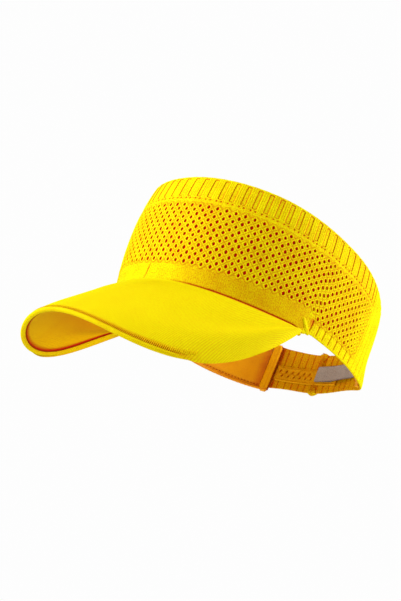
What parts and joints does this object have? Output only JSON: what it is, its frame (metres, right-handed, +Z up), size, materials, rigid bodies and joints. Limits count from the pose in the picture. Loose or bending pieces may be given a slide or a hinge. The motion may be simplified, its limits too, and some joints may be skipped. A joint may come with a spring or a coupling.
{
  "type": "sun visor",
  "caption": "Open-topped knitted sun visor: perforated head band with ribbed edges, arched stitched brim, sweatband and a hook-and-loop size strap at the back.",
  "frame": {"origin": "centre of the head opening, in the plane of the band's lower edge", "axes": "+Z up along the wearer's head, -Y forwards over the brim, +X to the wearer's left"},
  "size_m": [0.1884, 0.2329, 0.14],
  "materials": {
    "knit": "rib and mesh knit, bright yellow",
    "brim_cloth": "corded woven cloth, bright yellow",
    "brim_board": "moulded brim board",
    "thread": "sewing thread, yellow",
    "sweatband": "smooth satin-faced cloth, deep yellow",
    "foam": "thin sweatband padding",
    "loop_tape": "brushed loop tape, yellow",
    "strap": "woven tape backing, warm grey",
    "hook": "hook face, grey"
  },
  "bodies": {
    "visor": {"knit_top_rib_cuff": "knit", "knit_mesh_panel": "knit", "knit_front_plain_panel": "knit", "knit_side_hem_left": "knit", "knit_side_hem_right": "knit", "knit_rear_rib_left": "knit", "knit_rear_rib_right": "knit", "centre_back_seam": "knit", "brim_top_cover": "brim_cloth", "brim_board": "brim_board", "brim_bottom_cover": "brim_cloth", "brim_edge_strip": "brim_cloth", "brim_top_stitch_thread": "thread", "brim_under_stitch_thread": "thread", "brim_corner_tack_left": "thread", "brim_corner_tack_right": "thread", "brim_seam_tape": "sweatband", "sweatband_lining": "sweatband", "sweatband_foam": "foam", "sweatband_lower_piping": "sweatband", "sweatband_stitch_thread": "thread", "sweatband_end_hem_left": "sweatband", "sweatband_end_hem_right": "sweatband", "loop_tape": "loop_tape", "loop_tape_stitch_thread": "thread", "strap_root_tab": "strap", "strap_root_tack": "thread"},
    "size_strap": {"hook_strap": "strap", "hook_patch": "hook"}
  },
  "joints": [
    {"name": "strap_peel", "type": "hinge", "parent": "visor", "child": "size_strap", "pos_m": [0.04972, 0.07508, 0.015], "axis": [0, 0, 1], "range_deg": [0, 110]}
  ]
}
